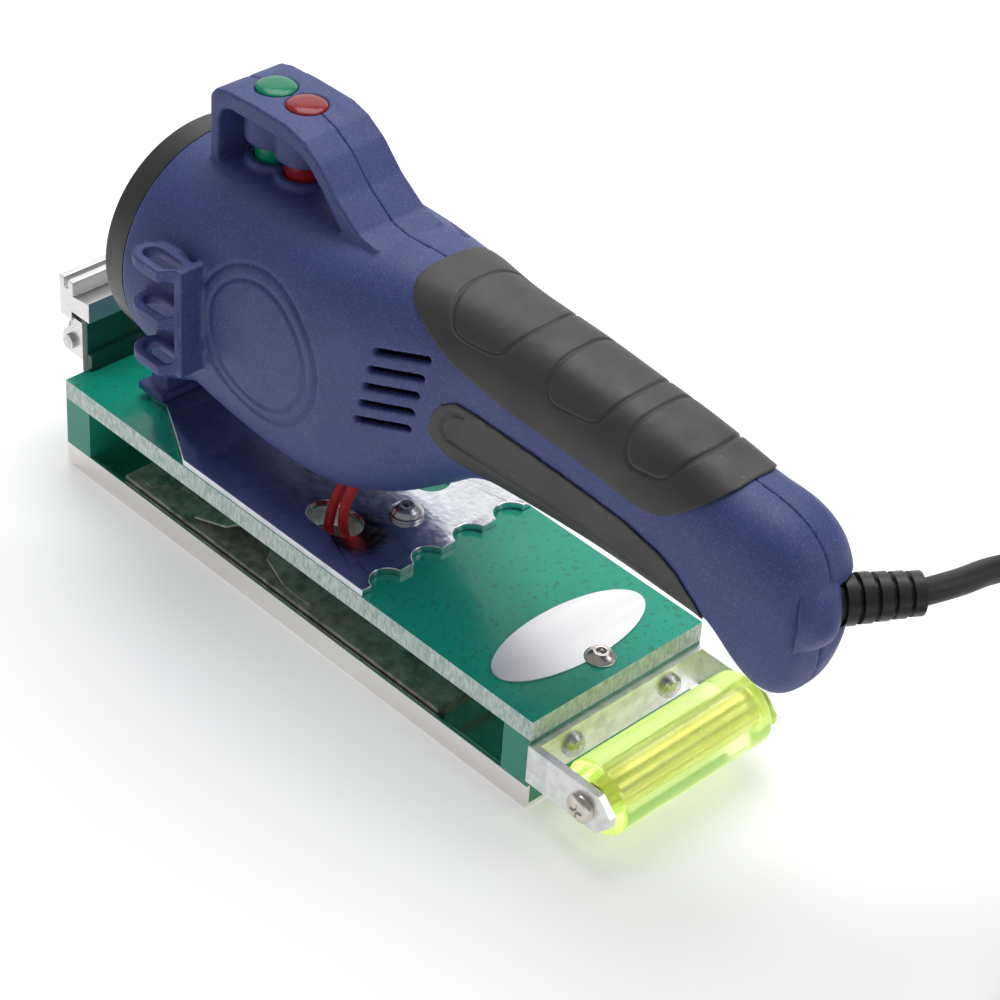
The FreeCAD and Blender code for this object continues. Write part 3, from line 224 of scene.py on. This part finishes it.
SATIN = material("satin_plaque", (0.74, 0.74, 0.75), (0.84, 0.84, 0.84), wave=0.012,
                 rough=(0.3, 0.42), metal=0.75, grain=0.0004, bump=0.08, stretch=(1, 0.1, 1))
SCREW = material("zinc_screw", (0.5, 0.5, 0.52), (0.64, 0.64, 0.66), wave=0.003,
                 rough=(0.2, 0.36), metal=1.0, bump=0.1, edge_highlight=(0.85, 0.85, 0.86))
NICKEL = material("nickel_screw", (0.66, 0.6, 0.55), (0.78, 0.72, 0.67), wave=0.003,
                  rough=(0.16, 0.28), metal=1.0, bump=0.08, edge_highlight=(0.9, 0.86, 0.82))
BLACK_SCREW = material("blackened_screw", (0.06, 0.06, 0.062), (0.1, 0.1, 0.1), wave=0.003,
                       rough=(0.3, 0.45), metal=1.0)
BRASS = material("turned_brass", (0.62, 0.5, 0.26), (0.74, 0.6, 0.34), wave=0.004,
                 rough=(0.22, 0.34), metal=1.0, grain=0.0005, bump=0.02, stretch=(1, 0.2, 1))
NYLON = material("white_nylon", (0.66, 0.66, 0.63), (0.78, 0.78, 0.75), rough=(0.4, 0.5))
MICA = material("mica_pack", (0.34, 0.29, 0.2), (0.46, 0.4, 0.3), rough=(0.3, 0.5), wave=0.01)
# the roller's emission is a painted glow, standing in for light that passes through the clear
# urethane
URETHANE = material("clear_urethane", (0.86, 0.96, 0.5), (0.9, 0.98, 0.58), wave=0.015,
                    rough=(0.1, 0.18), grain=0.003, bump=0.01, Transmission_Weight=0.88, IOR=1.4,
                    Emission_Color=(0.62, 0.9, 0.08, 1), Emission_Strength=0.17)
GREEN_LENS = material("green_lens", (0.0, 0.42, 0.2), (0.0, 0.5, 0.26), rough=(0.1, 0.2),
                      grain=0.0015, bump=0.05, Transmission_Weight=0.45, IOR=1.45)
RED_LENS = material("red_lens", (0.5, 0.02, 0.025), (0.6, 0.03, 0.035), rough=(0.1, 0.2),
                    grain=0.0015, bump=0.05, Transmission_Weight=0.45, IOR=1.45)
SLEEVING = material("red_sleeving", (0.5, 0.008, 0.015), (0.66, 0.015, 0.02), wave=0.003,
                    rough=(0.4, 0.6), grain=0.0005, bump=0.4)

FINISHES = {
    STAINLESS: ["sole_plate"],
    ALUMINIUM: ["heat_spreader", "roller_bracket", "guide_rail", "guide_tabs"],
    MICA: ["mica_heater"],
    BOARD: ["heater_board", "insulation_sheet"],
    SCREW: ["thermostat", "stand_screw", "stand_nut", "bracket_screws", "roller_axle", "guide_pin",
            "green_spring", "red_spring"],
    NICKEL: ["plate_screws", "axle_screws", "plug_pins"],
    SLEEVING: ["heater_lead_1", "heater_lead_2"],
    LAMINATE: ["top_plate"],
    BLOCK_LAMINATE: ["front_block", "rear_block"],
    DARK_LAMINATE: ["front_wall", "wall_cleat"],
    ZINC: ["stand_plate"],
    SATIN: ["plaque"],
    URETHANE: ["roller"],
    BRASS: ["roller_sleeve_left", "roller_sleeve_right"],
    NYLON: ["roller_washers", "guide_roller"],
    NAVY: ["housing_left", "housing_right"],
    DISC: ["front_disc"],
    GRIP: ["top_grip_left", "top_grip_right", "side_grip_left", "side_grip_right"],
    GREEN_LENS: ["green_button"],
    RED_LENS: ["red_button"],
    PLASTIC_INNER: ["green_switch", "red_switch", "capacitor"],
    PCB: ["switch_carrier", "control_board", "terminal_block"],
    RELAY: ["relay"],
    BLACK_SCREW: ["housing_screws"],
    BLACK: ["strain_relief", "cord_tie", "plug"],
    SHEATH: ["power_cord", "cord_tail", "cord_coil"],
}
# how far each node's edges are broken, in millimetres
BEVELS = {
    "sole_plate": 0.25, "stand_plate": 0.4, "front_wall": 0.4, "guide_rail": 0.25,
    "guide_tabs": 0.4, "roller": 0.9, "plate_screws": 0.2, "stand_screw": 0.2,
    "stand_nut": 0.3, "plaque": 0.15, "strain_relief": 0.5, "cord_tie": 0.4,
    "thermostat": 0.3, "green_button": 0.2, "red_button": 0.2, "roller_washers": 0.3,
    "guide_roller": 0.5, "plug_pins": 0.5, "front_disc": 0.3,
}
BEVEL_SEGMENTS = 2
BEVEL_ANGLE = math.radians(32)
WELD_DISTANCE = 0.005 * MM


def finish_nodes():
    for finish, names in FINISHES.items():
        for name in names:
            obj = nodes[name]
            obj.data.materials.clear()
            obj.data.materials.append(finish)
            if name in BEVELS:
                weld = obj.modifiers.new("weld", "WELD")
                weld.merge_threshold = WELD_DISTANCE
                bevel = obj.modifiers.new("edges", "BEVEL")
                bevel.width = BEVELS[name] * MM
                bevel.segments = BEVEL_SEGMENTS
                bevel.angle_limit = BEVEL_ANGLE
                shading = obj.modifiers.new("normals", "WEIGHTED_NORMAL")
                shading.keep_sharp = False


finish_nodes()


# ---------------------------------------------------------------- pieces

def add_piece(name, mesh, finish, body, *replaced):
    """A piece that takes the place of the named nodes; finish is for a mesh with no material."""
    obj = bpy.data.objects.new(name, mesh)
    bpy.context.scene.collection.objects.link(obj)
    if not mesh.materials:
        mesh.materials.append(finish)
    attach(obj, body)
    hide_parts(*replaced)
    return obj


def baked(obj):
    """obj's mesh as its modifiers leave it."""
    graph = bpy.context.evaluated_depsgraph_get()
    return bpy.data.meshes.new_from_object(obj.evaluated_get(graph))


def remeshed(name, voxel, rounds, *sources):
    """The nodes' solids as one mesh in even small faces, with its edges and corners rounded."""
    mesh = nodes[sources[0]].data.copy()
    if len(sources) > 1:
        both = bmesh.new()
        for source in sources:
            both.from_mesh(nodes[source].data)
        both.to_mesh(mesh)
        both.free()
    obj = bpy.data.objects.new(name, mesh)
    bpy.context.scene.collection.objects.link(obj)
    weld = obj.modifiers.new("weld", "WELD")
    weld.merge_threshold = WELD_DISTANCE
    cells = obj.modifiers.new("cells", "REMESH")
    cells.mode = "VOXEL"
    cells.voxel_size = voxel * MM
    cells.use_smooth_shade = True
    even = obj.modifiers.new("even", "SMOOTH")
    even.factor = 0.5
    even.iterations = rounds
    bpy.context.view_layer.update()
    made = baked(obj)
    bpy.data.objects.remove(obj)
    made.name = name
    made.materials.clear()
    return made


def vertices(mesh):
    points = np.empty(len(mesh.vertices) * 3)
    mesh.vertices.foreach_get("co", points)
    return points.reshape(-1, 3)


def normals(mesh):
    found = np.empty(len(mesh.vertices) * 3)
    mesh.vertex_normals.foreach_get("vector", found)
    return found.reshape(-1, 3)


def push(mesh, amount):
    """Moves each vertex along its normal by its own amount."""
    moved = vertices(mesh) + normals(mesh) * amount[:, None]
    mesh.vertices.foreach_set("co", moved.ravel())
    mesh.update()


def groove(distance, width, depth):
    """The depth of a round-bottomed groove at a distance from its line."""
    return -depth * np.exp(-(distance / width) ** 2)


def line_distance(points, line):
    """How far each point is from a line through the given corners."""
    nearest = np.full(len(points), np.inf)
    for start, end in zip(line, line[1:]):
        run = np.subtract(end, start)
        share = np.clip((points - start) @ run / (run @ run), 0, 1)
        nearest = np.minimum(nearest, np.linalg.norm(points - start - share[:, None] * run, axis=1))
    return nearest


def rounded(corners, rounds=3):
    """A closed line with its corners cut off again and again, which leaves it smooth."""
    line = np.array(corners, float)
    for _ in range(rounds):
        following = np.roll(line, -1, axis=0)
        line = np.stack((0.75 * line + 0.25 * following, 0.25 * line + 0.75 * following), 1)
        line = line.reshape(-1, line.shape[-1])
    return np.vstack((line, line[:1]))


# the size of the even faces in millimetres, and the rounds of smoothing
HOUSING_CELLS = (0.55, 8)
GRIP_CELLS = (0.4, 4)
PLUG_CELLS = (0.7, 14)

# the round panel's centre in x and z, and the radius, width and depth of its two grooves
ROUNDEL = (-18, 92.5)
ROUNDEL_GROOVES = ((25, 0.75, 0.9), (20.7, 0.65, 0.75))
FLANK_Y = -20
FLANK_NORMAL = -0.5
SLOT = [(9.5, 20, 128.1), (19.3, 14.9, 131)]
SLOT_GROOVE = (0.9, 1.8)

# the post behind the key loops
POST_START = -46.5
POST_BLEND = 2.5
POST_END = -39
POST_FOOT, POST_TOP = 68, 113
POST_FACE = -38.7
POST_LOWERED = 0.62


def lower_post(mesh, at):
    """The post behind the key loops stands less far out than the loops themselves."""
    behind = np.clip((at[:, 0] - POST_START) / POST_BLEND, 0, 1) * (at[:, 0] < POST_END)
    upright = (at[:, 2] > POST_FOOT) & (at[:, 2] < POST_TOP)
    proud = np.minimum(at[:, 1] - POST_FACE, 0) * upright
    at[:, 1] -= POST_LOWERED * proud * behind
    mesh.vertices.foreach_set("co", (at * MM).ravel())
    mesh.update()


def make_housing():
    for side in ("left", "right"):
        name = "housing_" + side
        mesh = remeshed("shell_" + side, *HOUSING_CELLS, name)
        at = vertices(mesh) / MM
        if side == "left":
            from_centre = np.hypot(at[:, 0] - ROUNDEL[0], at[:, 2] - ROUNDEL[1])
            cut = sum(groove(from_centre - radius, width, depth)
                      for radius, width, depth in ROUNDEL_GROOVES)
            cut[(at[:, 1] > FLANK_Y) | (normals(mesh)[:, 1] > FLANK_NORMAL)] = 0
            lower_post(mesh, at)
        else:
            cut = groove(line_distance(at, np.array(SLOT)), *SLOT_GROOVE)
        push(mesh, cut * MM)
        add_piece("shell_" + side, mesh, NAVY, "machine", name)


# the finger pads' outlines: along the tool, and over the handle from its ridge
PADS = [
    [(41.6, -8), (41.6, 4), (42.6, 11), (45.6, 19.5), (49.5, 25), (57, 24.4), (65.6, 22.6),
     (67.4, 16), (69.4, 6), (69.8, -8)],
    [(82.8, -8), (82.4, 5), (82.5, 13), (83.2, 20.5), (86, 26), (93, 24.8), (102.5, 22.4),
     (104.2, 16), (105.6, 6), (106, -8)],
    [(113.6, -8), (113.5, 5), (112.9, 13), (113.3, 20.5), (116.4, 27), (122, 26), (128.4, 23.8),
     (131.4, 15), (133.6, 6), (134.3, -8)],
]
# the grip's ridge in x and z, and the hook-shaped line on each side grip
RIDGE = [(20, 133.9), (44, 134.2), (57, 133.8), (70, 133.4), (83.4, 132.8), (94, 132),
         (105.7, 131.1), (114, 130.4), (123, 129.5), (134, 128.1), (150, 125.6)]
HOOK = [(58, 104.2), (53.6, 103), (50.8, 99.5), (50.3, 96), (52.2, 93.2), (58, 92.2), (72, 91.4),
        (90, 91), (110, 90.3), (126, 89.6), (135, 88.3)]
PAD_GROOVE = (0.6, 0.6)
HOOK_GROOVE = (0.6, 0.65)
UPWARD = 0.3


def make_grips():
    mesh = remeshed("grip_top", *GRIP_CELLS, "top_grip_left", "top_grip_right")
    at = vertices(mesh) / MM
    ridge = np.interp(at[:, 0], *zip(*RIDGE))
    over = np.column_stack((at[:, 0], np.abs(at[:, 1]) + ridge - at[:, 2]))
    cut = np.zeros(len(at))
    for pad in PADS:
        cut += groove(line_distance(over, rounded(pad)), *PAD_GROOVE)
    outward = (normals(mesh)[:, 1] * at[:, 1] > 0) | (normals(mesh)[:, 2] > UPWARD)
    push(mesh, np.where(outward, cut, 0) * MM)
    add_piece("grip_top", mesh, GRIP, "machine", "top_grip_left", "top_grip_right")
    for side in ("left", "right"):
        name = "side_grip_" + side
        mesh = remeshed("grip_" + side, *GRIP_CELLS, name)
        at = vertices(mesh) / MM
        cut = groove(line_distance(at[:, [0, 2]], np.array(HOOK)), *HOOK_GROOVE)
        cut[normals(mesh)[:, 1] * at[:, 1] < 0] = 0
        push(mesh, cut * MM)
        add_piece("grip_" + side, mesh, GRIP, "machine", name)


PLUG_REAR = (338.5, 17)
PLUG_HEADING = (0.1414, -0.98995)
PLUG_GROOVES = (7, 11, 15, 19, 23)
PLUG_GROOVE = (0.8, 0.8)


def make_plug():
    """The moulded plug, with finger grooves across it."""
    mesh = remeshed("plug_body", *PLUG_CELLS, "plug")
    at = vertices(mesh) / MM
    along = (at[:, :2] - PLUG_REAR) @ np.array(PLUG_HEADING)
    cut = sum(groove(along - place, *PLUG_GROOVE) for place in PLUG_GROOVES)
    push(mesh, cut * MM)
    return add_piece("plug_body", mesh, BLACK, "machine", "plug")


MERGE_DISTANCE = 0.002 * MM


def turned_mesh(name, profile, origin, axis, segments=72, shape=None):
    """A surface turned about an axis from (radius, along) pairs in millimetres."""
    turn = Vector((0, 0, 1)).rotation_difference(Vector(axis)).to_matrix()
    made = bmesh.new()
    rings = []
    for radius, along in profile:
        ring = []
        for k in range(segments):
            angle = 2 * math.pi * k / segments
            across, up = radius * math.cos(angle), radius * math.sin(angle)
            raised = along + (shape(across, up) if shape else 0)
            ring.append(made.verts.new((turn @ Vector((across, up, raised)) + Vector(origin)) * MM))
        rings.append(ring)
    for lower, upper in zip(rings, rings[1:]):
        for k in range(segments):
            after = (k + 1) % segments
            made.faces.new((lower[k], lower[after], upper[after], upper[k]))
    bmesh.ops.remove_doubles(made, verts=made.verts, dist=MERGE_DISTANCE)
    bmesh.ops.recalc_face_normals(made, faces=made.faces)
    mesh = bpy.data.meshes.new(name)
    made.to_mesh(mesh)
    made.free()
    mesh.shade_smooth()
    return mesh


RECESS_DEPTH = 0.9
RECESS_HALF_WIDTH = 0.5
RECESS_REACH = 2.3

# a screw's head: the radius its dome would run out to, its foot, and the rings that make it
DOME_RADIUS = 5.4
HEAD_FOOT = 4.6
HEAD_RINGS = 23
HEAD_RIM = (4.75, 0.3)
SHANK_RADIUS = 1.9
SHANK_LENGTH = 8.0


def cross_recess(across, up):
    """How far the screw's face is sunk at a place across it."""
    narrow, wide = sorted((abs(across), abs(up)))
    return -RECESS_DEPTH if narrow < RECESS_HALF_WIDTH and wide < RECESS_REACH else 0.0


def make_axle_screws():
    """Pan heads with a cross recess on the roller's two end screws, and their shanks."""
    low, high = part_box("axle_screws")
    middle = (low + high) / 2 / MM
    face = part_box("roller_bracket")[1].y / MM
    height = high.y / MM - face
    radii = [HEAD_FOOT * k / HEAD_RINGS for k in range(HEAD_RINGS + 1)]
    dome = [(radius, height * math.sqrt(1 - (radius / DOME_RADIUS) ** 2)) for radius in radii]
    profile = dome + [HEAD_RIM, (HEAD_FOOT, 0), (SHANK_RADIUS, 0), (SHANK_RADIUS, -SHANK_LENGTH),
                      (0, -SHANK_LENGTH)]
    both = bmesh.new()
    for side in (-1, 1):
        mesh = turned_mesh("screw", profile, (middle.x, side * face, middle.z), (0, side, 0),
                           shape=cross_recess)
        both.from_mesh(mesh)
    joined = bpy.data.meshes.new("axle_screw_heads")
    both.to_mesh(joined)
    both.free()
    joined.shade_smooth()
    add_piece("axle_screw_heads", joined, NICKEL, "machine", "axle_screws")


def make_springs():
    """Each return spring as a coil of its own, in the place of its node."""
    for colour in ("green", "red"):
        name = f"{colour}_spring"
        mesh = nodes[name].data.copy()
        mesh.transform(nodes[name].matrix_world)
        coil = add_piece(f"{name}_coil", mesh, SCREW, "machine", name)
        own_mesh(coil)


# the strain relief's two ends, and the collar's section as radius and distance from its root
RELIEF_ROOT = (164.5, -9, 98)
RELIEF_END = (186, 27, 97)
COLLAR = [(8.2, 4), (13.4, 4), (13.1, 9), (12.4, 12.6), (11.2, 15.2), (9.8, 16.4), (8.7, 16.5),
          (8.2, 15.9), (8.2, 4)]


def make_collar():
    """The moulded collar round the strain relief at the housing's tail."""
    root = Vector(RELIEF_ROOT)
    mesh = turned_mesh("relief_collar", COLLAR, root, (Vector(RELIEF_END) - root).normalized())
    mesh.materials.append(NAVY)
    obj = bpy.data.objects.new("relief_collar", mesh)
    bpy.context.scene.collection.objects.link(obj)
    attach(obj, "machine")


make_housing()
make_grips()
make_axle_screws()
make_springs()
make_collar()
plug_body = make_plug()


# ---------------------------------------------------------------- power cord

CORD_RADIUS = 3.8
LEAD = [(186, 27, 97), (189.3, 39.5, 96), (189.4, 52, 94), (192.1, 65.8, 91), (199.9, 77.5, 87),
        (211.6, 85.3, 81.5), (225.4, 88, 75), (239.5, 87, 68), (253.5, 84.4, 61.5),
        (268, 81.4, 55.5)]
TAIL = [(322, 57, 3.9), (331, 45, 4.8), (336.5, 31, 6.6), (338.5, 17, 7.8)]
COIL_CENTRE = (283, 40)
COIL_RADIUS = 40
COIL_START = 90
PER_TURN = 18
STEPS = 110
CURVE_SMOOTHNESS = 6
CURVE_ORDER = 3


def coil_points():
    """Neat turns a diameter apart, one on another, from the top one down to the floor."""
    # a control point of such a curve stands a little outside the circle that it makes
    radius = COIL_RADIUS / math.cos(math.pi / PER_TURN)
    pitch = 2 * CORD_RADIUS / PER_TURN
    for k in range(STEPS + 1):
        angle = math.radians(COIL_START - 360 * k / PER_TURN)
        yield (COIL_CENTRE[0] + radius * math.cos(angle), COIL_CENTRE[1] + radius * math.sin(angle),
               CORD_RADIUS + pitch * (STEPS - k))


def make_cord():
    """The cord from the strain relief into the coil and out again to the plug."""
    route = LEAD + list(coil_points()) + TAIL
    curve = bpy.data.curves.new("flex", "CURVE")
    curve.dimensions = "3D"
    curve.bevel_depth = CORD_RADIUS * MM
    curve.bevel_resolution = CURVE_SMOOTHNESS
    curve.resolution_u = CURVE_SMOOTHNESS
    curve.use_fill_caps = True
    line = curve.splines.new("NURBS")
    line.points.add(len(route) - 1)
    for point, place in zip(line.points, route):
        point.co = (*(MM * c for c in place), 1)
    line.order_u = CURVE_ORDER
    line.use_endpoint_u = True
    curve.materials.append(SHEATH)
    flex = bpy.data.objects.new("flex", curve)
    bpy.context.scene.collection.objects.link(flex)
    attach(flex, "machine")
    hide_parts("power_cord", "cord_tail", "cord_coil")


make_cord()


# ---------------------------------------------------------------- floor and light

FLOOR_SIZE = 8
FLOOR_DROP = 0.0002
FLOOR_COLOUR = (0.93, 0.93, 0.93, 1)
FLOOR_GLOW = 0.33
WHITE = (1, 1, 1, 1)
SKY_STRENGTH = 0.27


def make_stage():
    bpy.ops.mesh.primitive_plane_add(size=FLOOR_SIZE, location=(0, 0, -FLOOR_DROP))
    floor = bpy.context.object
    floor.name = "floor"
    paint = bpy.data.materials.new("floor_white")
    paint.use_nodes = True
    surface = paint.node_tree.nodes["Principled BSDF"]
    surface.inputs["Base Color"].default_value = FLOOR_COLOUR
    surface.inputs["Roughness"].default_value = 0.6
    surface.inputs["Emission Color"].default_value = WHITE
    surface.inputs["Emission Strength"].default_value = FLOOR_GLOW
    floor.data.materials.append(paint)


def make_light(name, place, size, power, aim=(0.03, 0, 0.06)):
    data = bpy.data.lights.new(name, "AREA")
    data.shape = "RECTANGLE"
    data.size, data.size_y = size
    data.energy = power
    lamp = bpy.data.objects.new(name, data)
    lamp.location = place
    lamp.rotation_euler = (Vector(aim) - Vector(place)).to_track_quat("-Z", "Y").to_euler()
    bpy.context.scene.collection.objects.link(lamp)


def make_world():
    world = bpy.data.worlds.new("studio")
    bpy.context.scene.world = world
    world.use_nodes = True
    background = world.node_tree.nodes["Background"]
    background.inputs["Color"].default_value = WHITE
    background.inputs["Strength"].default_value = SKY_STRENGTH
    bpy.context.scene.view_settings.view_transform = "Standard"


make_stage()
make_world()
make_light("top_box", (-0.2, 0.35, 1.1), (1.0, 0.8), 8)
make_light("far_box", (-1.2, 1.25, 0.75), (2.0, 1.2), 7)
make_light("rear_box", (1.0, 0.7, 0.8), (0.6, 0.8), 2.5)
